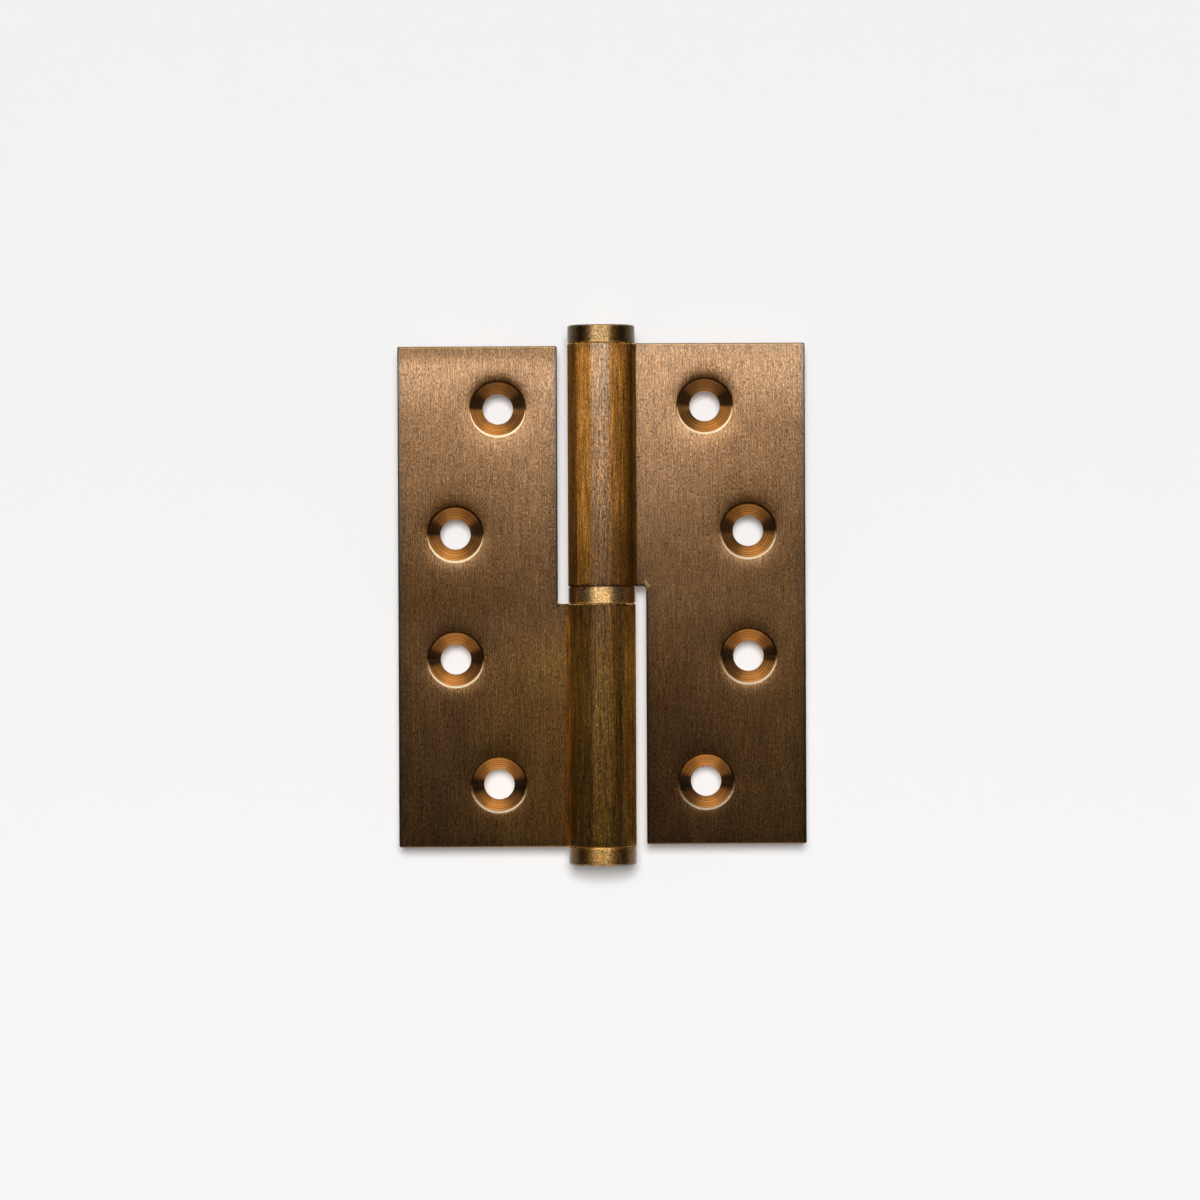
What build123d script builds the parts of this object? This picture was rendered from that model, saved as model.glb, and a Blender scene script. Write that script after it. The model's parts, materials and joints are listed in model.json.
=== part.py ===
"""Lift-off hinge: two leaves with a knuckle each, a fixed pin, a bearing washer and two end caps.

Millimetres. +Z runs along the pin and is the way the door leaf lifts off. The hinge lies open
flat with its countersunk faces toward -Y. The origin is on the pin axis, halfway up the washer.
"""

import os

from build123d import *

os.makedirs("parts", exist_ok=True)

# Leaves
leaf_height = 102.0
leaf_reach = 41.5  # from the pin axis to a leaf's outer edge
leaf_thickness = 3.0
leaf_stagger = 0.5  # how much higher the door leaf's ends are than the frame leaf's
closed_gap = 1.5  # between the two countersunk faces with the hinge folded shut
side_gap = 2.15  # from a leaf's inner edge to the other leaf's knuckle
corner_radius = 0.4
step_corner_radius = 0.6  # where the inner edge turns toward the knuckle
root_radius = 0.4  # where a leaf runs into its knuckle
edge_break = 0.2

# Screw holes, in evenly spaced rows up each leaf
hole_rows = 4
hole_diameter = 6.2
countersink_diameter = 11.5
end_row_margin = 12.75  # from a leaf's end to the centre of the first hole
end_hole_margin = 12.1  # from a leaf's inner edge to the holes in its two end rows
middle_hole_margin = 11.65  # from a leaf's outer edge to the holes in its other rows

# Barrel: knuckle, washer, knuckle, with a cap at each end
barrel_diameter = 13.7
washer_thickness = 3.5
cap_thickness = 3.6
disc_break = 0.3  # on the washer's rims and the caps' outer rims
seam_break = 0.15  # on the caps' rims next to the knuckles

# Pin
pin_diameter = 8.0
pin_foot_gap = 1.5  # from the pin's foot to the bottom cap's spigot
pin_nose_gap = 9.5  # from the pin's nose to the top cap's spigot
pin_nose_radius = 1.5
pin_foot_break = 0.5

# Fits. The pin and the caps' spigots have the same diameter as the bores they are pressed into.
running_clearance = 0.05  # on the radius, door leaf's knuckle on the pin
washer_clearance = 0.08  # on the radius, washer on the pin
bore_lead = 0.6  # chamfer at the door leaf's lower bore mouth
washer_lead = 0.3
spigot_length = 4.0
spigot_break = 0.4

# Places, depths and diameters that follow from the sizes above
leaf_front_y = closed_gap / 2
leaf_back_y = leaf_front_y + leaf_thickness
leaf_inner_x = barrel_diameter / 2 + side_gap
knuckle_length = (leaf_height + leaf_stagger - washer_thickness) / 2
knuckle_near_z = washer_thickness / 2
knuckle_far_z = knuckle_near_z + knuckle_length
leaf_far_z = knuckle_far_z - leaf_height
row_pitch = (leaf_height - 2 * end_row_margin) / (hole_rows - 1)
countersink_depth = (countersink_diameter - hole_diameter) / 2  # 90 degrees across
pin_seat = knuckle_length - spigot_length - pin_foot_gap
pin_reach = knuckle_length - spigot_length - pin_nose_gap
door_bore_diameter = pin_diameter + 2 * running_clearance
washer_bore_diameter = pin_diameter + 2 * washer_clearance
ON_FLOOR = (Align.CENTER, Align.CENTER, Align.MIN)


def corner(plate, x, z):
    """Edge that runs through a plate at one corner of its outline."""
    return plate.edges().filter_by(Axis.Y).sort_by_distance((x, leaf_front_y, z))[0]


def leaf_plate():
    """Plate of the door leaf: full height outside, cut back beside the other knuckle."""
    outline = [
        (0, knuckle_near_z),
        (0, knuckle_far_z),
        (leaf_reach, knuckle_far_z),
        (leaf_reach, leaf_far_z),
        (leaf_inner_x, leaf_far_z),
        (leaf_inner_x, knuckle_near_z),
    ]
    face = make_face(Polyline([(x, leaf_front_y, z) for x, z in outline], close=True))
    plate = extrude(face, amount=leaf_thickness, dir=(0, 1, 0))
    for x, z in outline[2:5]:
        plate = fillet(corner(plate, x, z), corner_radius)
    return fillet(corner(plate, *outline[5]), step_corner_radius)


def knuckle():
    """Round knuckle with the root of the leaf, drawn as one section along the pin axis."""
    middle_y = (leaf_front_y + leaf_back_y) / 2
    root = Pos(leaf_inner_x / 2, middle_y) * Rectangle(leaf_inner_x, leaf_thickness)
    section = Circle(barrel_diameter / 2) + root
    section = fillet(section.vertices().sort_by(Axis.X)[:-2], root_radius)
    return Pos(0, 0, knuckle_near_z) * extrude(section, amount=knuckle_length)


def screw_hole():
    """Tool for one countersunk hole, with the countersunk face at its origin and facing -Y."""
    straight = Cylinder(hole_diameter / 2, 4 * leaf_thickness)
    flare = Cone(countersink_diameter / 2, hole_diameter / 2, countersink_depth, align=ON_FLOOR)
    return Rot(-90, 0, 0) * (straight + flare)


def break_edges(body):
    """Chamfer a leaf all round, except along its knuckle's roots and across its rounded corners."""
    edges = body.edges()
    across = edges.filter_by(Axis.Y)
    roots = edges.filter_by(Axis.Z).filter_by_position(Axis.X, 0, leaf_inner_x, (True, False))
    return chamfer(edges - across - roots, edge_break)


def leaf(bore_diameter):
    """Leaf on the +X side with its knuckle above the washer, drilled and bored."""
    body = break_edges(leaf_plate() + knuckle())
    for row in range(hole_rows):
        at_end = row in (0, hole_rows - 1)
        x = leaf_inner_x + end_hole_margin if at_end else leaf_reach - middle_hole_margin
        body -= Pos(x, leaf_front_y, leaf_far_z + end_row_margin + row * row_pitch) * screw_hole()
    bore = Cylinder(bore_diameter / 2, knuckle_length, align=ON_FLOOR)
    return body - Pos(0, 0, knuckle_near_z) * bore


def door_leaf():
    """Leaf that lifts off. Its bore runs on the pin and has a lead-in at the lower end."""
    lead = Cone(
        door_bore_diameter / 2 + bore_lead, door_bore_diameter / 2, bore_lead, align=ON_FLOOR
    )
    return leaf(door_bore_diameter) - Pos(0, 0, knuckle_near_z) * lead


def frame_leaf():
    """Leaf that stays. It is the door leaf turned half-way round in its own plane."""
    return Rot(0, 180, 0) * leaf(pin_diameter)


def hinge_pin():
    """Pin with a rounded nose, standing out of the frame leaf's knuckle."""
    length = pin_seat + washer_thickness + pin_reach
    pin = Cylinder(pin_diameter / 2, length, align=ON_FLOOR)
    rims = pin.edges().filter_by(GeomType.CIRCLE).sort_by(Axis.Z)
    pin = fillet(rims[-1], pin_nose_radius)
    rims = pin.edges().filter_by(GeomType.CIRCLE).sort_by(Axis.Z)
    pin = chamfer(rims[0], pin_foot_break)
    return Pos(0, 0, -washer_thickness / 2 - pin_seat) * pin


def bearing_washer():
    """Ring that carries the door leaf's knuckle on the frame leaf's."""
    ring = Cylinder(barrel_diameter / 2, washer_thickness)
    ring = chamfer(ring.edges().filter_by(GeomType.CIRCLE), disc_break)
    bore = Cylinder(washer_bore_diameter / 2, washer_thickness)
    lead = Cone(
        washer_bore_diameter / 2 + washer_lead, washer_bore_diameter / 2, washer_lead, align=ON_FLOOR
    )
    lead = Pos(0, 0, -washer_thickness / 2) * lead
    return ring - bore - lead - Rot(180, 0, 0) * lead


def end_cap(spigot_diameter):
    """Flat round cap for the top of the barrel, with a spigot that plugs the bore."""
    disc = Cylinder(barrel_diameter / 2, cap_thickness, align=ON_FLOOR)
    disc = chamfer(disc.edges().filter_by(GeomType.CIRCLE).sort_by(Axis.Z)[-1], disc_break)
    disc = chamfer(disc.edges().filter_by(GeomType.CIRCLE).sort_by(Axis.Z)[0], seam_break)
    spigot = Cylinder(
        spigot_diameter / 2, spigot_length, align=(Align.CENTER, Align.CENTER, Align.MAX)
    )
    spigot = chamfer(spigot.edges().filter_by(GeomType.CIRCLE).sort_by(Axis.Z)[0], spigot_break)
    return Pos(0, 0, knuckle_far_z) * (disc + spigot)


pieces = {
    "frame_leaf": frame_leaf(),
    "door_leaf": door_leaf(),
    "hinge_pin": hinge_pin(),
    "bearing_washer": bearing_washer(),
    "top_cap": end_cap(door_bore_diameter),
    "bottom_cap": Rot(0, 180, 0) * end_cap(pin_diameter),
}
for name, piece in pieces.items():
    export_step(piece, f"parts/{name}.step")
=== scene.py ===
"""Looks of the lift-off hinge: bronzed and brushed brass leaves, turned brass fittings, a steel pin.

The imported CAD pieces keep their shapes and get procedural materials. Metres, in the CAD's frame:
+Z runs up the pin, and the countersunk faces look toward -Y, where the camera is. The frame leaf is
the door leaf turned half round, so one function makes both their materials.
"""

import json
import math

import bpy
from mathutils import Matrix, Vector


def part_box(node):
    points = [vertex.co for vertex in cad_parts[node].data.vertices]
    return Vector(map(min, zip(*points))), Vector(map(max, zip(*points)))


MM = 0.001

# Leaf sizes that the frame doesn't hold, as in the part's source
LEAF_THICKNESS = 3.0 * MM
SIDE_GAP = 2.15 * MM  # from a leaf's inner edge to the other leaf's knuckle
COUNTERSINK_RADIUS = 5.75 * MM

# Camera, from the photograph's 1200 pixel frame
PHOTO_SIDE = 1200
PHOTO_MM_PER_PIXEL = 1 / 4.912
HINGE_CENTRE_PIXEL = (602.0, 595.0)
CAMERA_DISTANCE = 1.15
CAMERA_ROLL = math.radians(0.25)
SENSOR = 36.0
CLIP_START = 0.01

# White surface behind the hinge
BACKDROP_GAP = 0.05 * MM  # behind the door leaf's screw holes where they swing farthest back
BACKDROP_SIDE = 1.6
BACKDROP_HEIGHTS = (-0.13, 0.13)
BACKDROP_WHITES = (0.935, 0.885)  # painted shade: white at the lower height, darker at the upper
BACKDROP_TINT = (0.992, 1.0, 1.008)
BACKDROP_GLOW = 0.14

# Light on the backdrop: its share from the room and from a soft lamp a little above the camera
ROOM_SHARE = 0.12
KEY_SHARE = 0.88
KEY_ELEVATION = math.radians(11)
KEY_ANGLE = math.radians(18)

# Light that the metal mirrors: a panel in front and above the camera's axis, a dimmer one overhead
# and the dimmest one below
PANEL_DISTANCE = 0.36
PANEL_WIDTH = 0.44
PANEL_SHIFT = -0.03  # to the left, as the barrel's highlights lie
PANEL_FOOT = 0.037
PANEL_TOP = 0.45
PANEL_REAR = 0.10  # how far in front of the hinge the overhead and lower panels end
FRONT_RADIANCE = 4.7
OVERHEAD_RADIANCE = 4.0
BELOW_RADIANCE = 2.6
PANEL_COLOUR = (1.0, 0.98, 0.86)

# From here on, a name often holds a fade: where it starts, where it ends, and its values there
# unless they are 0 and 1

# Room that the metal mirrors, by how far a direction points ahead, up or aside, from -1 to 1
ROOM_COLOUR = (1.0, 0.86, 0.60)
ROOM_FRONT = (0.90, 0.35, 0.034, 0.06)
ROOM_TO_BACK = (0.0, -0.2)
WORLD_WHITE = 0.92
CORNER_AHEAD = (0.93, 0.75)
CORNER_SIDE = (0.2, 0.5)
CORNER_BELOW = (-0.15, -0.38, 0.0, 0.45)
CORNER_ASIDE = (0.25, 0.45)

# Colours of the metals, and of the painted reflections, highlights and shadows on them
WHITE = (1.0, 1.0, 1.0)
BRONZE = (0.37, 0.157, 0.031)
BRONZE_PINK = (0.39, 0.176, 0.046)
BRONZE_GOLD = (0.38, 0.162, 0.019)
# Painted reflection: gold in the corner where a leaf runs into its knuckle
ROOT_REFLECTION_GOLD = (0.80, 0.33, 0.028)
# Painted reflection: grey line along the leaves' upright edges
EDGE_REFLECTION_GREY = (0.085, 0.081, 0.075)
# Painted shade: dark brown line along the leaves' upright edges
EDGE_SHADE_BROWN = (0.060, 0.031, 0.010)
# Painted shadow and shade: dark line at the seam above the washer and on the rims above the countersinks
PAINTED_SHADOW_DARK = (0.030, 0.014, 0.006)
COPPER = (0.36, 0.148, 0.036)
# Worn brass for specks, chips, ends and rims, also the painted highlight on top edges and the painted glint on the
# burr
BRASS_WEAR_AND_HIGHLIGHT = (0.72, 0.448, 0.155)
# Painted highlight: cream crescent on the rim below each countersink
RIM_HIGHLIGHT = (0.74, 0.585, 0.41)
TURNED_BRASS = (0.36, 0.229, 0.092)
TURNED_DARK = (0.16, 0.083, 0.025)
STEEL = (0.52, 0.53, 0.56)
STEEL_STAIN = (0.20, 0.17, 0.14)

# Noises: cells to the metre along each axis, detail, roughness and seed
SEED_STEPS = (1.0, 2.3, 3.1)
LEAF_NOISES = {
    "grain": ((5200, 5200, 1700), 1.0, 0.6, 0.0),
    "scratches": ((5200, 5200, 300), 2.0, 0.6, 4.0),
    "streaks": ((4600, 4600, 90), 3.0, 0.6, 7.0),
    "bands": ((800, 800, 12), 2.0, 0.5, 21.0),
    "clouds": ((130, 130, 70), 3.0, 0.55, 13.0),
    "chips": ((1700, 1700, 1700), 2.0, 0.6, 27.0),
    "specks": ((2300, 2300, 2300), 1.0, 0.5, 37.0),
    "gilt": ((700, 700, 190), 3.0, 0.6, 41.0),
    "turning": ((6500, 6500, 3200), 2.0, 0.6, 31.0),
}
RING_NOISE = ((3600, 1, 1), 3.0, 0.7, 3.0)
MOTTLE_NOISE = ((2400, 2400, 2400), 3.0, 0.65, 5.0)
PATCH_NOISE = ((420, 420, 420), 2.0, 0.5, 11.0)
LATHE_NOISE = ((25, 25, 9000), 2.0, 0.6, 17.0)
SPECKLE_NOISE = ((3600, 3600, 3600), 2.0, 0.65, 29.0)
GRINDING_NOISE = ((60, 60, 7000), 3.0, 0.6, 2.0)
STAIN_NOISE = ((240, 240, 120), 3.0, 0.55, 9.0)

# Places on a leaf: depth under the knuckle's skin, before the leaf's back or inside a countersink
BARREL_FRINGE = (-0.5 * MM, -0.1 * MM)
BACK_FRINGE = (0.10 * MM, 0.20 * MM)
CONE_FRINGE = (0.24 * MM, 0.30 * MM)
RIM_MIDDLE = 0.12 * MM
RIM_FRINGE = (0.22 * MM, 0.15 * MM)
SMALLEST_RADIUS = 0.1 * MM

# Brushed bronze; pairs named LEAF_AND_BARREL are values on the flat leaf and on its knuckle
PINK_CLOUDS = (0.36, 0.64)
GOLDEN_GRAIN = (0.46, 0.62)
LEAF_AND_BARREL_GOLD = (0.3, 0.75)
GRAIN_DEPTH = 2.8
LOWEST_GRAIN = 0.3
SCRATCH_DEPTH = 1.9
LEAF_AND_BARREL_STREAKS = (1.1, 3.4)
LEAF_AND_BARREL_BANDS = (0.0, 0.9)
CLOUD_DEPTH = 0.5
EDGE_DIMMING = (0.0, 3.2 * MM, 0.74, 1.0)
# Painted shade on the top of the door's knuckle
BARREL_TOP_PAINTED_SHADE = (26 * MM, 44 * MM, 0.0, 0.17)
FAR_OUT = (10 * MM, 34 * MM)
PAINTED_LIGHT_GREENING = 0.20
SPECKS_SHOWN = (0.72, 0.78, 0.0, 0.6)

# Lines along edges and seams, mostly painted reflection, highlight, shade and shadow, some worn in chips; by
# distance from the line, depth behind the front face, or the chips' noise
ROOT_LINE = (0.50 * MM, 0.25 * MM)
ROOT_PATCHES = (0.42, 0.54, 0.08, 1.0)
# Painted highlight along the leaves' top edges
UPPER_HIGHLIGHT_LINE = (0.48 * MM, 0.20 * MM, 0.0, 0.5)
UPPER_HIGHLIGHT_HEIGHT = (0.0, 10 * MM)
ON_PLATE = (-1.0 * MM, 0.0)
EDGE_DEPTH = (0.32 * MM, 0.20 * MM)
# Painted reflection in grey, then painted shade in dark brown, along the upright edges
GREY_REFLECTION_LINE = (0.62 * MM, 0.42 * MM, 0.0, 0.75)
BROWN_SHADE_LINE = (0.36 * MM, 0.26 * MM, 0.0, 0.9)
SEAM_RAGGEDNESS = 2.0 * MM
SEAM_LINE = (0.50 * MM, 0.25 * MM)
SEAM_END = (0.3 * MM, 0.0)
SEAM_SKIN = (0.6 * MM, 0.4 * MM)
SEAM_SHARE = 0.95
SEAM_CHIPS = (0.46, 0.54)
BURR_REACH = (1.3 * MM, 0.9 * MM)
BURR_LINE = (0.32 * MM, 0.26 * MM)
BURR_DEPTH = (1.0 * MM, 0.5 * MM)
BURR_CHIPS = (0.47, 0.53)
END_LINE = (0.34 * MM, 0.12 * MM)
END_CHIPS = (0.42, 0.56)

# Countersinks: turning marks, painted shade on cones and upper rims, painted highlight on lower rims, many by how
# far up the ring a point lies (-1 to 1)
RING_PITCH = 0.46 * MM
RING_SHARE = 0.10
RING_CONTRAST = 2.4
CONE_GRAIN = 0.7
SIDE_SHADE_RISE = 4.5  # of the painted side shade's middle, to the metre of the hinge's height
SIDE_SHADE_MIDDLE = 0.14
SIDE_SHADE_LIFTED = (0.18, 0.47, 0.22, 1.0)
# Painted light on the cones: halves lit differently, the upper half brighter on lower holes, the lower half
# brighter away from the pin and darker toward the bore
CONE_HALVES = (-0.2, 0.2)
LOWER_CONE = 0.78
UPPER_CONE = 0.85
UPPER_CONE_RISE = -9.6
CONE_ACROSS = (-1.0, 1.0)
BORE_DIMMING = (0.2 * MM, 1.2 * MM, 0.58, 1.0)
LOWER_PART = (0.0, -0.4)
# Painted shade on the rim above each countersink
DARK_RIM = (-0.25, 0.10, 0.0, 0.85)
# Painted highlight on the lower rims, brighter higher up the hinge
RIM_HIGHLIGHT_REACH = (-0.1, -0.9, 0.06 * MM, 0.20 * MM)
RIM_HIGHLIGHT_MIDDLE = 0.10 * MM
RIM_HIGHLIGHT_LINE = (0.05 * MM, -0.02 * MM, 0.0, 0.9)
RIM_HIGHLIGHT_PART = (0.05, -0.30)
RIM_HIGHLIGHT_RISE = 9.0

# Relief of a leaf: heights, and the slopes of a countersink's rim that the brushing rounded over
ROLL_REACH = 1.3 * MM
ROLL_HEIGHT = (25 * MM, 34 * MM, -0.11 * MM, -0.20 * MM)
BEVEL_WIDTH = 0.14 * MM
BEVEL_HEIGHT = -0.030 * MM
INNER_SLOPE = 0.72
INNER_SLOPE_WIDTH = 0.3 * MM
SCRATCH_HEIGHT = 0.010 * MM
GRAIN_HEIGHT = 0.020 * MM
RING_HEIGHT = 0.020 * MM
CONE_GRAIN_HEIGHT = 0.030 * MM
BURR_HEIGHT = 0.012 * MM

# Gloss of a leaf
BRUSH_ANISOTROPY = 1.0
PIN_AXIS = (0.0, 0.0, 1.0)
SMALL_TANGENT = (0.001, 0.0, 0.0)  # for the faces that look along the pin
TURNING_SHOWN = 0.06
LEAF_ROUGHNESS = (0.3, 0.7, 0.48, 0.52)
CONE_ROUGHNESS = 0.40
BARE_FLANKS = (3.6 * MM, 5.0 * MM)
BARE_RIM = (-0.3, 0.1)
LEAF_COAT = (0.0, 1.0, 0.68, 0.07)
COAT_ROUGHNESS = 0.20
LEAF_COAT_IOR = 1.75

# Turned brass of the washer and caps
TURNED_ANISOTROPY = 0.8
MOTTLED = (0.3, 0.68)
PATCHES_SHOWN = (0.4, 0.65, 0.0, 0.5)
TURNED_RIM = (0.45 * MM, 0.15 * MM)
TURNED_RIM_SHARE = 0.55
SPECKLE_DEPTH = 4.0
LOWEST_SPECKLE = 0.3
LATHE_HEIGHT = 0.006 * MM
SPECKLE_HEIGHT = 0.034 * MM
TURNED_ROUGHNESS = (0.3, 0.7, 0.36, 0.42)
FRONT_COAT = 0.5
FLANK_COAT = 0.05
TURNED_COAT_IOR = 1.5

# Ground steel of the pin
STEEL_ANISOTROPY = 0.6
GRINDING_SHADE = (0.25, 0.75, 0.8, 1.1)
GRINDING_HEIGHT = 0.004 * MM
STAINS_SHOWN = (0.5, 0.75, 0.0, 0.45)
STEEL_ROUGHNESS = (0.3, 0.7, 0.26, 0.38)

# What sets a leaf's finish apart. Shading zones are painted light and shade by height, in mm: where a
# change of brightness starts from above, is full, is still full and has ended, and then the change near
# the pin and far out. Flanks are painted shade and highlight across the knuckle, in mm: where one
# starts, where it is full, and its factor.
DOOR_FINISH = {
    "root_gold": 0.15,
    "seam_wear": 0.0,
    "burr": 0.7,
    "cone_sides": (0.55, 1.08),  # painted brightness of the lower cone toward the pin and away from it
    "rim_tone": 0.62,  # brightness of the painted highlight on the rims at the middle of the hinge
    "turned_from": 0.69,  # noise above which the knuckle's highlight spreads along the pin
    "zones": (((46, 34, 8, -4), -0.10, -0.28), ((0, -16, -70, -80), -0.14, 0.22)),
    "flanks": ((-2.6, -3.4, 1.25), (-4.6, -5.2, 0.30), (2.4, 6.4, 0.20)),
}
FRAME_FINISH = {
    "root_gold": 0.9,
    "seam_wear": 1.0,
    "burr": 0.0,
    "cone_sides": (0.62, 1.30),
    "rim_tone": 0.78,
    "turned_from": 0.63,
    "zones": (
        ((80, 70, 49.5, 46.5), -0.26, -0.30),
        ((46, 34, 0, -14), -0.16, -0.28),
        ((0, -16, -70, -80), 0.72, 0.08),
    ),
    "flanks": ((-1.2, -2.6, 0.42), (1.6, 3.2, 0.50), (3.6, 4.6, 1.7)),
}

# Turned pieces: their tint, their own hue with a painted brightness for each piece, and the flanks at both sides
# with the factor of painted shade on their brightness
WASHER_FINISH = {"tint": (1.56, 1.68, 2.20), "flanks": (4.2 * MM, 5.8 * MM), "flank_shade": 0.45}
TOP_CAP_FINISH = {"tint": (0.76, 0.76, 0.76), "flanks": (2.8 * MM, 4.6 * MM), "flank_shade": 0.40}
BOTTOM_CAP_FINISH = {"tint": (1.18, 1.18, 1.15), "flanks": (2.8 * MM, 4.6 * MM), "flank_shade": 0.42}


class Shader:
    """Nodes of one material or world. All methods but node() return what their nodes give out."""

    def __init__(self, tree):
        self.tree = tree
        tree.nodes.clear()

    def node(self, kind, inputs=None, **settings):
        made = self.tree.nodes.new(kind)
        for key, value in settings.items():
            setattr(made, key, value)
        for key, value in (inputs or {}).items():
            socket = made.inputs[key]
            if isinstance(value, bpy.types.NodeSocket):
                self.tree.links.new(value, socket)
            elif isinstance(value, tuple) and socket.type == "RGBA" and len(value) == 3:
                socket.default_value = (*value, 1.0)
            else:
                socket.default_value = value
        return made

    def math(self, operation, a, b=0.0, c=0.0, clamp=False):
        made = self.node("ShaderNodeMath", {0: a, 1: b, 2: c}, operation=operation, use_clamp=clamp)
        return made.outputs[0]

    def times(self, *factors):
        """Product of two or more numbers."""
        product = factors[0]
        for factor in factors[1:]:
            product = self.math("MULTIPLY", product, factor)
        return product

    def off(self, value, middle):
        """How far a number lies from a middle, to either side."""
        return self.math("ABSOLUTE", self.math("SUBTRACT", value, middle))

    def vary(self, noise, amount):
        """Factor about 1 that follows a noise about 0.5."""
        return self.math("MULTIPLY_ADD", self.math("SUBTRACT", noise, 0.5), amount, 1.0)

    def fade(self, value, start, end, low=0.0, high=1.0):
        """Smooth step of value from low at start to high at end."""
        made = self.node(
            "ShaderNodeMapRange",
            {"Value": value, "From Min": start, "From Max": end, "To Min": low, "To Max": high},
            interpolation_type="SMOOTHSTEP",
        )
        return made.outputs[0]

    def blend(self, factor, a, b):
        """Number from a at factor 0 to b at factor 1."""
        made = self.node("ShaderNodeMix", {0: factor, 2: a, 3: b}, data_type="FLOAT")
        return made.outputs[0]

    def blend_vector(self, factor, a, b):
        made = self.node("ShaderNodeMix", {0: factor, 4: a, 5: b}, data_type="VECTOR")
        return made.outputs[1]

    def colour(self, factor, a, b):
        """Colour from a at factor 0 to b at factor 1."""
        made = self.node("ShaderNodeMix", {0: factor, 6: a, 7: b}, data_type="RGBA")
        return made.outputs[2]

    def vector(self, operation, a, b=(0.0, 0.0, 0.0)):
        made = self.node("ShaderNodeVectorMath", {0: a, 1: b}, operation=operation)
        return made.outputs["Value" if operation in ("LENGTH", "DOT_PRODUCT") else "Vector"]

    def scale(self, vector, factor):
        made = self.node("ShaderNodeVectorMath", {0: vector, "Scale": factor}, operation="SCALE")
        return made.outputs["Vector"]

    def split(self, vector):
        """The x, y and z of a vector."""
        return self.node("ShaderNodeSeparateXYZ", {0: vector}).outputs[0:3]

    def join(self, x, y, z):
        return self.node("ShaderNodeCombineXYZ", {0: x, 1: y, 2: z}).outputs[0]

    def noise(self, place, cells, detail, roughness, seed):
        """Noise about 0.5, with so many cells to the metre along each axis."""
        stretched = self.vector("MULTIPLY", place, cells)
        moved = self.vector("ADD", stretched, tuple(step * seed for step in SEED_STEPS))
        made = self.node(
            "ShaderNodeTexNoise",
            {"Vector": moved, "Scale": 1.0, "Detail": detail, "Roughness": roughness},
        )
        return made.outputs[0]

    def bump(self, height):
        """Normal over a relief with its height in metres."""
        made = self.node("ShaderNodeBump", {"Height": height, "Strength": 1.0, "Distance": 1.0})
        return made.outputs[0]

    def world_direction(self, vector):
        """Direction in the piece's own frame turned to the scene's, so it follows a swung leaf."""
        turned = self.node(
            "ShaderNodeVectorTransform",
            {0: vector},
            vector_type="VECTOR",
            convert_from="OBJECT",
            convert_to="WORLD",
        ).outputs[0]
        return self.vector("NORMALIZE", turned)


def new_material(name):
    material = bpy.data.materials.new(name)
    material.use_nodes = True
    return material, Shader(material.node_tree)


def finish_material(shader, surface):
    shader.node("ShaderNodeOutputMaterial", {"Surface": surface})


def screw_holes(record, leaf):
    """Centres of a leaf's screw holes as (x, z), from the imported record's mounts."""
    centres = []
    for mount in record["mounts"]:
        if mount["kind"] == "bolt_pattern" and mount["name"].startswith(leaf):
            x, _, z = mount["pos_m"]
            reach = mount["dims"]["spacing_y_mm"] * MM / 2
            centres += [(x, z - reach), (x, z + reach)]
    return centres


def nearest_hole(s, place, centres):
    """Vector in the leaf's plane from the nearest hole's centre, and its length."""
    flat = s.vector("MULTIPLY", place, (1.0, 0.0, 1.0))
    offset = distance = None
    for x, z in centres:
        other = s.vector("SUBTRACT", flat, (x, 0.0, z))
        reach = s.vector("LENGTH", other)
        if offset is None:
            offset, distance = other, reach
            continue
        closer = s.math("LESS_THAN", reach, distance)
        offset = s.blend_vector(closer, offset, other)
        distance = s.math("MINIMUM", distance, reach)
    return offset, distance


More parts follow.
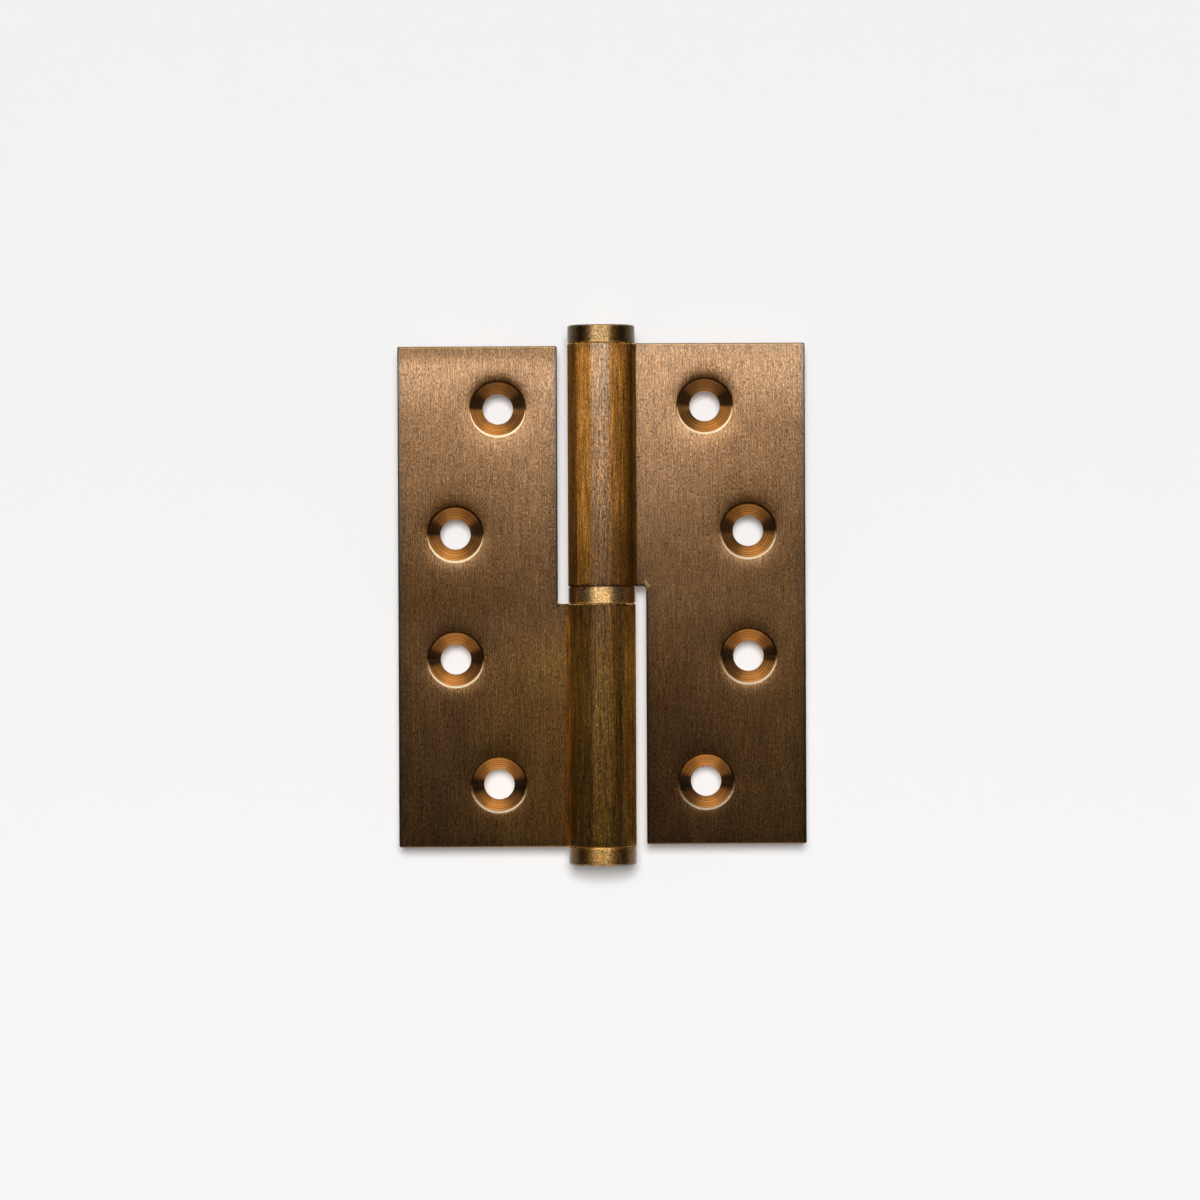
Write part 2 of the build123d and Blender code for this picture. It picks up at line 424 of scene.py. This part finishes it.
class LeafPoint:
    """Where a shaded point lies on a leaf, as sockets, with lengths in metres.

    The side is +1 for the door leaf and -1 for the frame leaf, which is turned half round. Outward
    is away from the pin and along is up the door leaf or down the frame leaf.
    """

    def __init__(self, s, side, leaf, centres):
        self.place = s.node("ShaderNodeTexCoord").outputs["Object"]
        self.x, y, self.z = s.split(self.place)
        outward, _, along = s.split(s.vector("MULTIPLY", self.place, (side, 1.0, side)))
        axis_distance = s.vector("LENGTH", s.join(self.x, y, 0.0))
        self.under_skin = s.math("SUBTRACT", leaf["barrel"], axis_distance)
        self.on_barrel = s.fade(self.under_skin, *BARREL_FRINGE)
        self.behind_front = s.math("SUBTRACT", y, leaf["back"] - leaf["thickness"])
        self.before_back = s.fade(s.math("SUBTRACT", leaf["back"], y), *BACK_FRINGE)

        # Edges, counted inward; above the step the plate runs into its own knuckle without an edge
        self.from_root = s.off(outward, leaf["barrel"])
        self.beyond_inner = s.math("SUBTRACT", outward, leaf["inner"])
        self.above_step = s.math("SUBTRACT", along, leaf["step"])
        self.below_top = s.math("SUBTRACT", leaf["top"], along)
        own_knuckle = s.math("GREATER_THAN", along, leaf["step"])
        inner_edge = s.math("ADD", self.beyond_inner, own_knuckle)
        outer_edge = s.math("SUBTRACT", leaf["reach"], outward)
        above_foot = s.math("SUBTRACT", along, leaf["foot"])
        self.upright_edge = s.math("MINIMUM", inner_edge, outer_edge)
        self.level_edge = s.math("MINIMUM", self.below_top, above_foot)

        # Nearest countersink: upness and outness run from -1 to 1 round its ring
        self.from_hole, self.radius = nearest_hole(s, self.place, centres)
        right, _, up = s.split(self.from_hole)
        radius = s.math("MAXIMUM", self.radius, SMALLEST_RADIUS)
        self.upness = s.math("DIVIDE", up, radius)
        self.outness = s.times(s.math("DIVIDE", right, radius), side)
        self.beyond_bore = s.math("SUBTRACT", self.radius, leaf["hole"])
        self.inside_rim = s.math("SUBTRACT", leaf["sink"], self.radius)
        self.in_cone = s.times(s.fade(self.inside_rim, *CONE_FRINGE), self.before_back)
        on_rim = s.fade(s.off(self.inside_rim, RIM_MIDDLE), *RIM_FRINGE)
        self.on_rim = s.times(on_rim, self.before_back)


def painted_light_by_height(s, at, zones):
    """Painted light and shade: a factor on the colour that changes up the leaf and away from the pin."""
    far_out = s.fade(s.math("ABSOLUTE", at.x), *FAR_OUT)
    painted_brightness = 1.0
    for (over, top, foot, under), near_change, far_change in zones:
        zone = s.times(s.fade(at.z, over * MM, top * MM), s.fade(at.z, under * MM, foot * MM))
        change = s.blend(far_out, near_change, far_change)
        painted_brightness = s.times(s.math("MULTIPLY_ADD", zone, change, 1.0), painted_brightness)
    return painted_brightness


def brushed_bronze(s, at, noises, finish, grain, painted_brightness):
    """Brown bronze that runs from pinkish to golden, darker toward the leaf's edges, with painted light and shade
    across the knuckle, at its top and up the leaf.
    """
    clouds, bands = noises["clouds"], noises["bands"]
    body = s.colour(s.fade(clouds, *PINK_CLOUDS), BRONZE, BRONZE_PINK)
    golden = s.fade(s.blend(at.on_barrel, noises["grain"], bands), *GOLDEN_GRAIN)
    golden = s.times(golden, s.blend(at.on_barrel, *LEAF_AND_BARREL_GOLD))
    body = s.colour(golden, body, BRONZE_GOLD)
    shade = s.times(
        grain,
        s.vary(noises["streaks"], s.blend(at.on_barrel, *LEAF_AND_BARREL_STREAKS)),
        s.vary(bands, s.blend(at.on_barrel, *LEAF_AND_BARREL_BANDS)),
        s.vary(clouds, CLOUD_DEPTH),
        s.fade(s.math("MINIMUM", at.upright_edge, at.level_edge), *EDGE_DIMMING),
    )
    # Painted shade and highlight across the knuckle, as bands of factor on its colour
    for start, end, factor in finish["flanks"]:
        flank = s.times(s.fade(at.x, start * MM, end * MM), at.on_barrel)
        shade = s.times(shade, s.blend(flank, 1.0, factor))
    # Painted shade on the top of the door's knuckle
    barrel_top_shade = s.times(s.fade(at.z, *BARREL_TOP_PAINTED_SHADE), at.on_barrel)
    shade = s.times(shade, s.math("SUBTRACT", 1.0, barrel_top_shade))
    body = s.scale(body, s.times(shade, painted_brightness))
    # Where painted brighter, the colour turns a little greener, as a painted highlight's tint
    brightened = s.math("MAXIMUM", s.math("SUBTRACT", painted_brightness, 1.0), 0.0)
    painted_light_tint = s.join(1.0, s.math("MULTIPLY_ADD", brightened, PAINTED_LIGHT_GREENING, 1.0), 1.0)
    body = s.vector("MULTIPLY", body, painted_light_tint)
    return s.colour(s.fade(noises["specks"], *SPECKS_SHOWN), body, BRASS_WEAR_AND_HIGHLIGHT)


def edge_lines(s, at, noises, finish, body):
    """Painted reflection in gold at the knuckle's root, painted highlight along the upper edge, painted reflection
    and shade along upright edges.
    """
    # Painted reflection in gold patches along the knuckle's root
    root = s.fade(at.from_root, *ROOT_LINE, high=finish["root_gold"])
    root = s.times(s.fade(noises["gilt"], *ROOT_PATCHES), root)
    body = s.colour(root, body, ROOT_REFLECTION_GOLD)
    # Painted highlight in brass along the leaves' top edges
    upper = s.times(s.fade(at.level_edge, *UPPER_HIGHLIGHT_LINE), s.fade(at.z, *UPPER_HIGHLIGHT_HEIGHT))
    upper = s.times(upper, s.math("SUBTRACT", 1.0, at.on_barrel))
    body = s.colour(upper, body, BRASS_WEAR_AND_HIGHLIGHT)
    # Painted reflection in grey and painted shade in dark brown along the upright edges
    on_plate = s.times(s.fade(at.upright_edge, *ON_PLATE), s.fade(at.behind_front, *EDGE_DEPTH))
    body = s.colour(s.times(s.fade(at.upright_edge, *GREY_REFLECTION_LINE), on_plate), body, EDGE_REFLECTION_GREY)
    return s.colour(s.times(s.fade(at.upright_edge, *BROWN_SHADE_LINE), on_plate), body, EDGE_SHADE_BROWN)


def seam_and_end(s, at, noises, finish, body):
    """Painted shadow in a dark line where the leaf meets the washer, worn in chips on the frame leaf, and the
    knuckle's outer end, worn in chips.
    """
    chips = noises["chips"]
    ragged = s.math("MULTIPLY_ADD", s.math("SUBTRACT", chips, 0.5), SEAM_RAGGEDNESS, at.above_step)
    on_front = s.fade(at.behind_front, *SEAM_SKIN)
    # Painted shadow in a dark line where the leaf meets the washer
    seam_shadow = s.times(
        s.fade(s.math("ABSOLUTE", ragged), *SEAM_LINE),
        s.fade(at.beyond_inner, *SEAM_END),
        s.blend(at.on_barrel, on_front, s.fade(at.under_skin, *SEAM_SKIN)),
    )
    body = s.colour(s.times(seam_shadow, SEAM_SHARE), body, PAINTED_SHADOW_DARK)
    worn_seam = s.times(seam_shadow, s.fade(chips, *SEAM_CHIPS, high=finish["seam_wear"]))
    body = s.colour(worn_seam, body, BRASS_WEAR_AND_HIGHLIGHT)
    end = s.times(s.fade(s.math("ABSOLUTE", at.below_top), *END_LINE), s.fade(chips, *END_CHIPS))
    return s.colour(s.times(end, at.on_barrel), body, BRASS_WEAR_AND_HIGHLIGHT)


def step_burr(s, at, noises, finish):
    """Share of a chipped burr along both edges of the step's corner, painted bright as a glint."""
    corner = s.vector("LENGTH", s.join(at.beyond_inner, 0.0, at.above_step))
    sideways = s.math("ABSOLUTE", at.beyond_inner)
    upward = s.math("ABSOLUTE", at.above_step)
    return s.times(
        s.fade(corner, *BURR_REACH),
        s.fade(s.math("MINIMUM", sideways, upward), *BURR_LINE, high=finish["burr"]),
        s.fade(at.behind_front, *BURR_DEPTH),
        s.fade(noises["chips"], *BURR_CHIPS),
    )


def cone_rings(s, at):
    """Turning marks round a countersink, as a number about 0."""
    wave = s.math("SINE", s.times(at.radius, 2 * math.pi / RING_PITCH))
    uneven = s.noise(s.join(at.radius, 0.0, 0.0), *RING_NOISE)
    return s.math("ADD", s.times(wave, RING_SHARE), s.math("SUBTRACT", uneven, 0.5))


def countersinks(s, at, noises, finish, rings, body):
    """Copper-coloured cones with turning marks and painted shade on their sides, halves and bore; rims with
    painted shade above and painted highlight below.
    """
    marks = s.math("MULTIPLY_ADD", rings, RING_CONTRAST, 1.0)
    marks = s.times(marks, s.vary(noises["grain"], CONE_GRAIN))
    # Painted shade on each cone's sides, centred above the ring's middle and higher on the upper holes
    side_shade_middle = s.math("MULTIPLY_ADD", at.z, SIDE_SHADE_RISE, SIDE_SHADE_MIDDLE)
    # Painted light: brightness of each cone's halves by height, across, and toward the bore
    upper_cone = s.math("MULTIPLY_ADD", at.z, UPPER_CONE_RISE, UPPER_CONE)
    lower_cone = s.fade(at.outness, *CONE_ACROSS, *finish["cone_sides"])
    lower_cone = s.times(lower_cone, s.fade(at.beyond_bore, *BORE_DIMMING))
    shade = s.times(
        s.fade(s.off(at.upness, side_shade_middle), *SIDE_SHADE_LIFTED),
        s.fade(at.upness, *CONE_HALVES, LOWER_CONE, upper_cone),
        s.blend(s.fade(at.upness, *LOWER_PART), 1.0, lower_cone),
    )
    body = s.colour(at.in_cone, body, s.scale(COPPER, s.times(marks, shade)))
    # Painted shade on the upper rim of each countersink
    dark_rim = s.times(at.on_rim, s.fade(at.upness, *DARK_RIM))
    body = s.colour(dark_rim, body, PAINTED_SHADOW_DARK)
    # Painted highlight on the lower rim of each countersink
    from_line = s.off(at.inside_rim, RIM_HIGHLIGHT_MIDDLE)
    from_line = s.math("SUBTRACT", from_line, s.fade(at.upness, *RIM_HIGHLIGHT_REACH))
    rim_highlight = s.times(s.fade(from_line, *RIM_HIGHLIGHT_LINE), at.before_back)
    rim_highlight = s.times(rim_highlight, s.fade(at.upness, *RIM_HIGHLIGHT_PART))
    tone = s.math("MULTIPLY_ADD", at.z, RIM_HIGHLIGHT_RISE, finish["rim_tone"])
    return s.colour(rim_highlight, body, s.scale(RIM_HIGHLIGHT, tone))


def leaf_relief(s, at, noises, rings, burr):
    """Height of the scratches, turned rings and burr, and of rims rounded over by the brushing."""
    outside = s.math("MAXIMUM", s.times(at.inside_rim, -1.0), 0.0)
    inside = s.math("MINIMUM", s.math("MAXIMUM", at.inside_rim, 0.0), INNER_SLOPE_WIDTH)
    roll = s.math("EXPONENT", s.math("DIVIDE", outside, -ROLL_REACH))
    roll = s.times(roll, s.fade(at.z, *ROLL_HEIGHT))
    bevel = s.math("MAXIMUM", s.math("MULTIPLY_ADD", outside, -1 / BEVEL_WIDTH, 1.0), 0.0)
    rounding = s.math("MULTIPLY_ADD", bevel, BEVEL_HEIGHT, roll)
    rounding = s.math("MULTIPLY_ADD", inside, INNER_SLOPE, rounding)
    rounding = s.times(rounding, at.before_back)
    grain = noises["grain"]
    brushing = s.times(grain, GRAIN_HEIGHT)
    brushing = s.math("MULTIPLY_ADD", noises["scratches"], SCRATCH_HEIGHT, brushing)
    turning = s.math("MULTIPLY_ADD", rings, RING_HEIGHT, s.times(grain, CONE_GRAIN_HEIGHT))
    height = s.math("ADD", s.blend(at.in_cone, brushing, turning), rounding)
    return s.math("MULTIPLY_ADD", burr, BURR_HEIGHT, height)


def leaf_tangent(s, at, noises, turned_from):
    """Direction in which the highlight spreads, which is across the marks: round the pin where brushed,
    along it where turned, and outward in a countersink.
    """
    face = s.node("ShaderNodeNewGeometry").outputs["Normal"]
    across = s.vector("ADD", s.vector("CROSS_PRODUCT", PIN_AXIS, face), SMALL_TANGENT)
    turned = s.fade(noises["turning"], turned_from, turned_from + TURNING_SHOWN)
    tangent = s.blend_vector(s.times(turned, at.on_barrel), across, PIN_AXIS)
    return s.blend_vector(at.in_cone, tangent, s.world_direction(at.from_hole))


def leaf_coat(s, at, grain, painted_brightness):
    """Weight of the clear coat on brushed faces; little on flanks, in cones and on upper rims, and less where
    painted darker.
    """
    flanks = s.times(s.fade(s.math("ABSOLUTE", at.x), *BARE_FLANKS), at.on_barrel)
    rims = s.times(at.on_rim, s.fade(at.upness, *BARE_RIM))
    bare = s.math("MAXIMUM", s.math("MAXIMUM", flanks, at.in_cone), rims)
    coat_painted_dimming = s.math("POWER", s.math("MINIMUM", painted_brightness, 1.0), 2.0)
    return s.math("MULTIPLY", s.times(grain, coat_painted_dimming), s.fade(bare, *LEAF_COAT), clamp=True)


def leaf_material(name, side, leaf, centres, finish):
    """Bronzed leaf and knuckle: brushed along the pin, with turned countersinks, painted light and shade on cones,
    rims and edges.
    """
    material, s = new_material(name)
    at = LeafPoint(s, side, leaf, centres)
    noises = {kind: s.noise(at.place, *settings) for kind, settings in LEAF_NOISES.items()}
    grain = s.math("MAXIMUM", s.vary(noises["grain"], GRAIN_DEPTH), LOWEST_GRAIN)
    grain = s.times(grain, s.vary(noises["scratches"], SCRATCH_DEPTH))
    painted_brightness = painted_light_by_height(s, at, finish["zones"])
    rings = cone_rings(s, at)
    burr = step_burr(s, at, noises, finish)
    body = brushed_bronze(s, at, noises, finish, grain, painted_brightness)
    body = edge_lines(s, at, noises, finish, body)
    body = seam_and_end(s, at, noises, finish, body)
    # Painted glint: the burr is coloured bright brass; its relief is raised as well
    body = s.colour(burr, body, BRASS_WEAR_AND_HIGHLIGHT)
    body = countersinks(s, at, noises, finish, rings, body)
    normal = s.bump(leaf_relief(s, at, noises, rings, burr))
    brushed_roughness = s.fade(noises["clouds"], *LEAF_ROUGHNESS)
    metal = s.node(
        "ShaderNodeBsdfPrincipled",
        {
            "Base Color": body,
            "Metallic": 1.0,
            "Roughness": s.blend(at.in_cone, brushed_roughness, CONE_ROUGHNESS),
            "Anisotropic": BRUSH_ANISOTROPY,
            "Tangent": leaf_tangent(s, at, noises, finish["turned_from"]),
            "Normal": normal,
            "Coat Weight": leaf_coat(s, at, grain, painted_brightness),
            "Coat Roughness": COAT_ROUGHNESS,
            "Coat IOR": LEAF_COAT_IOR,
            "Coat Normal": normal,
        },
    )
    finish_material(s, metal.outputs[0])
    return material


def turned_material(name, rim_height, finish):
    """Turned brass of the washer and caps: fine lathe marks, mottled bronzing, one rim worn bright, painted shade
    on the flanks.
    """
    material, s = new_material(name)
    place = s.node("ShaderNodeTexCoord").outputs["Object"]
    x, _, z = s.split(place)
    mottle = s.noise(place, *MOTTLE_NOISE)
    speckle = s.noise(place, *SPECKLE_NOISE)
    body = s.colour(s.fade(mottle, *MOTTLED), TURNED_DARK, TURNED_BRASS)
    patches = s.fade(s.noise(place, *PATCH_NOISE), *PATCHES_SHOWN)
    body = s.colour(patches, body, BRONZE_PINK)
    rim = s.fade(s.off(z, rim_height), *TURNED_RIM)
    body = s.colour(s.times(rim, TURNED_RIM_SHARE), body, BRASS_WEAR_AND_HIGHLIGHT)
    # Painted shade on the flanks of the washer and caps
    flank = s.fade(s.math("ABSOLUTE", x), *finish["flanks"])
    tone = s.math("MAXIMUM", s.vary(speckle, SPECKLE_DEPTH), LOWEST_SPECKLE)
    tone = s.times(tone, s.blend(flank, 1.0, finish["flank_shade"]))
    # The tint holds the piece's own hue and a painted brightness for each piece
    body = s.vector("MULTIPLY", s.scale(body, tone), finish["tint"])
    relief = s.times(speckle, SPECKLE_HEIGHT)
    relief = s.math("MULTIPLY_ADD", s.noise(place, *LATHE_NOISE), LATHE_HEIGHT, relief)
    metal = s.node(
        "ShaderNodeBsdfPrincipled",
        {
            "Base Color": body,
            "Metallic": 1.0,
            "Roughness": s.fade(mottle, *TURNED_ROUGHNESS),
            "Anisotropic": TURNED_ANISOTROPY,
            "Tangent": s.world_direction(PIN_AXIS),
            "Normal": s.bump(relief),
            "Coat Weight": s.blend(flank, FRONT_COAT, FLANK_COAT),
            "Coat Roughness": COAT_ROUGHNESS,
            "Coat IOR": TURNED_COAT_IOR,
        },
    )
    finish_material(s, metal.outputs[0])
    return material


def pin_material():
    """Ground steel with fine marks round the pin and a little oil darkening."""
    material, s = new_material("steel_pin")
    place = s.node("ShaderNodeTexCoord").outputs["Object"]
    grinding = s.noise(place, *GRINDING_NOISE)
    stains = s.noise(place, *STAIN_NOISE)
    body = s.scale(STEEL, s.fade(grinding, *GRINDING_SHADE))
    body = s.colour(s.fade(stains, *STAINS_SHOWN), body, STEEL_STAIN)
    metal = s.node(
        "ShaderNodeBsdfPrincipled",
        {
            "Base Color": body,
            "Metallic": 1.0,
            "Roughness": s.fade(stains, *STEEL_ROUGHNESS),
            "Anisotropic": STEEL_ANISOTROPY,
            "Tangent": s.world_direction(PIN_AXIS),
            "Normal": s.bump(s.times(grinding, GRINDING_HEIGHT)),
        },
    )
    finish_material(s, metal.outputs[0])
    return material


def backdrop_material():
    """White surface behind the hinge that keeps its shadow and can be looked through from behind.

    Metal mirrors the world's white through it, and not the hinge's own shadow on it.
    """
    material, s = new_material("white_surface")
    ray = s.node("ShaderNodeLightPath").outputs
    behind = s.node("ShaderNodeNewGeometry").outputs["Backfacing"]
    height = s.split(s.node("ShaderNodeTexCoord").outputs["Object"])[2]
    # Painted shade: the white darkens toward the upper height
    white = s.scale(BACKDROP_TINT, s.fade(height, *BACKDROP_HEIGHTS, *BACKDROP_WHITES))
    lit = s.node("ShaderNodeBsdfDiffuse", {"Color": white}).outputs[0]
    glow = s.node("ShaderNodeEmission", {"Color": white, "Strength": 1.0}).outputs[0]
    seen = s.node("ShaderNodeMixShader", {0: BACKDROP_GLOW, 1: lit, 2: glow}).outputs[0]
    clear = s.node("ShaderNodeBsdfTransparent").outputs[0]
    gone = s.math("MAXIMUM", behind, s.math("MAXIMUM", ray["Is Shadow Ray"], ray["Is Glossy Ray"]))
    surface = s.node("ShaderNodeMixShader", {0: gone, 1: seen, 2: clear}).outputs[0]
    finish_material(s, surface)
    return material


def link(thing, name):
    made = bpy.data.objects.new(name, thing)
    bpy.context.scene.collection.objects.link(made)
    return made


def make_backdrop(back):
    """Square plane that looks toward the camera, so far behind the pin's axis."""
    half = BACKDROP_SIDE / 2
    corners = [(-half, back, -half), (half, back, -half), (half, back, half), (-half, back, half)]
    mesh = bpy.data.meshes.new("backdrop")
    mesh.from_pydata(corners, [], [(0, 1, 2, 3)])
    mesh.materials.append(backdrop_material())
    link(mesh, "backdrop")


def make_world():
    """White to the camera, an even fill on the backdrop, and a dim room for the metal to mirror."""
    world = bpy.data.worlds.new("studio")
    world.use_nodes = True
    bpy.context.scene.world = world
    s = Shader(world.node_tree)
    ray = s.node("ShaderNodeLightPath").outputs
    direction = s.node("ShaderNodeTexCoord").outputs["Generated"]
    sideways, ahead, upward = s.split(s.vector("MULTIPLY", direction, (1.0, -1.0, 1.0)))
    to_back = s.fade(ahead, *ROOM_TO_BACK)
    room = s.blend(to_back, s.fade(ahead, *ROOM_FRONT), WORLD_WHITE)
    corners = s.times(
        s.fade(ahead, *CORNER_AHEAD),
        s.fade(ahead, *CORNER_SIDE),
        s.fade(upward, *CORNER_BELOW),
        s.fade(s.math("ABSOLUTE", sideways), *CORNER_ASIDE),
    )
    room = s.math("ADD", room, corners)
    strength = s.blend(ray["Is Glossy Ray"], ROOM_SHARE, room)
    strength = s.blend(ray["Is Camera Ray"], strength, WORLD_WHITE)
    mirrored_front = s.times(ray["Is Glossy Ray"], s.math("SUBTRACT", 1.0, to_back))
    tint = s.colour(mirrored_front, WHITE, ROOM_COLOUR)
    background = s.node("ShaderNodeBackground", {"Color": tint, "Strength": strength})
    s.node("ShaderNodeOutputWorld", {"Surface": background.outputs[0]})


def soft_sun(name, share, elevation, angle):
    """Soft light from in front and somewhat above, which lights the backdrop and isn't mirrored."""
    sun = bpy.data.lights.new(name, "SUN")
    sun.energy = share * math.pi / math.cos(elevation)
    sun.angle = angle
    lamp = link(sun, name)
    lamp.visible_glossy = False
    toward = Vector((0.0, -math.cos(elevation), math.sin(elevation)))
    lamp.rotation_euler = toward.to_track_quat("Z", "Y").to_euler()


def mirror_panel(name, place, depth, tilt, radiance):
    """Lit rectangle that only metal shows. It faces down, or with a tilt of a quarter turn along +Y."""
    panel = bpy.data.lights.new(name, "AREA")
    panel.shape = "RECTANGLE"
    panel.size, panel.size_y = PANEL_WIDTH, depth
    panel.energy = radiance * math.pi * PANEL_WIDTH * depth
    panel.color = PANEL_COLOUR
    lamp = link(panel, name)
    lamp.visible_diffuse = False
    lamp.location = place
    lamp.rotation_euler = (tilt, 0.0, 0.0)


def make_lamps():
    soft_sun("key", KEY_SHARE, KEY_ELEVATION, KEY_ANGLE)
    height = PANEL_TOP - PANEL_FOOT
    middle = (PANEL_FOOT + PANEL_TOP) / 2
    before_camera = (PANEL_SHIFT, -PANEL_DISTANCE, middle)
    mirror_panel("front", before_camera, height, math.pi / 2, FRONT_RADIANCE)
    depth = PANEL_DISTANCE - PANEL_REAR
    half_way = -(PANEL_DISTANCE + PANEL_REAR) / 2
    mirror_panel("overhead", (0.0, half_way, PANEL_TOP), depth, 0.0, OVERHEAD_RADIANCE)
    mirror_panel("below", (0.0, half_way, -PANEL_TOP), depth, math.pi, BELOW_RADIANCE)


def make_camera():
    """Square on to the countersunk faces, framed as the photograph is."""
    camera = bpy.data.cameras.new("camera")
    width = PHOTO_SIDE * PHOTO_MM_PER_PIXEL * MM
    camera.sensor_width = SENSOR
    camera.lens = SENSOR * CAMERA_DISTANCE / width
    camera.clip_start = CLIP_START
    camera_object = link(camera, "camera")
    right = (PHOTO_SIDE / 2 - HINGE_CENTRE_PIXEL[0]) * PHOTO_MM_PER_PIXEL * MM
    up = (HINGE_CENTRE_PIXEL[1] - PHOTO_SIDE / 2) * PHOTO_MM_PER_PIXEL * MM
    camera_object.location = (right, -CAMERA_DISTANCE, up)
    camera_object.rotation_euler = (math.pi / 2, CAMERA_ROLL, 0.0)
    bpy.context.scene.camera = camera_object


def swing_back(frame, leaf, centres):
    """How far behind the pin the door leaf's outermost screw holes come at the end of its swing."""
    swing = next(joint for joint in frame["joints"] if joint["name"] == "swing")
    angle = math.radians(swing["range_deg"][1])
    hole_edge = max(x for x, _ in centres) + leaf["hole"]
    return hole_edge * math.sin(angle) + leaf["back"] * math.cos(angle)


def dress(node, material):
    node.data.materials.clear()
    node.data.materials.append(material)


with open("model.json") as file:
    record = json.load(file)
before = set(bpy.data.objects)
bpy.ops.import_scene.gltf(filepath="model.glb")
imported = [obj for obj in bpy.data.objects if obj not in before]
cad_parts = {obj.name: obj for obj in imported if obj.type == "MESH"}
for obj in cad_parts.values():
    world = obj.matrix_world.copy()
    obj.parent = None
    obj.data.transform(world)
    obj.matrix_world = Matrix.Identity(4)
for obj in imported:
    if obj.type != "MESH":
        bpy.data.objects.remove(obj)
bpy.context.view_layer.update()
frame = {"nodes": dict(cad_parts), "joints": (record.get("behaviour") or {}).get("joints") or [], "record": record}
nodes = frame["nodes"]
record = frame["record"]
bpy.context.scene.view_settings.view_transform = "Standard"

mounts = {mount["name"]: mount for mount in record["mounts"]}
door_low, door_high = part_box("door_leaf")
frame_low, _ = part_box("frame_leaf")
washer_low, washer_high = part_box("bearing_washer")
leaf = {
    "reach": door_high.x,
    "top": door_high.z,
    "foot": door_low.z,
    "step": washer_high.z,
    "barrel": washer_high.x,
    "inner": washer_high.x + SIDE_GAP,
    "thickness": LEAF_THICKNESS,
    "back": mounts["door_back"]["pos_m"][1],
    "hole": mounts["door_end_screws"]["dims"]["hole_r_mm"] * MM,
    "sink": COUNTERSINK_RADIUS,
}
door_holes = screw_holes(record, "door")
frame_holes = screw_holes(record, "frame")

door_bronze = leaf_material("bronze_door_leaf", 1.0, leaf, door_holes, DOOR_FINISH)
frame_bronze = leaf_material("bronze_frame_leaf", -1.0, leaf, frame_holes, FRAME_FINISH)
dress(nodes["door_leaf"], door_bronze)
dress(nodes["frame_leaf"], frame_bronze)
dress(nodes["bearing_washer"], turned_material("brass_washer", washer_low.z, WASHER_FINISH))
dress(nodes["top_cap"], turned_material("brass_top_cap", door_high.z, TOP_CAP_FINISH))
dress(nodes["bottom_cap"], turned_material("brass_bottom_cap", frame_low.z, BOTTOM_CAP_FINISH))
dress(nodes["hinge_pin"], pin_material())

make_backdrop(swing_back(frame, leaf, door_holes) + BACKDROP_GAP)
make_world()
make_lamps()
make_camera()
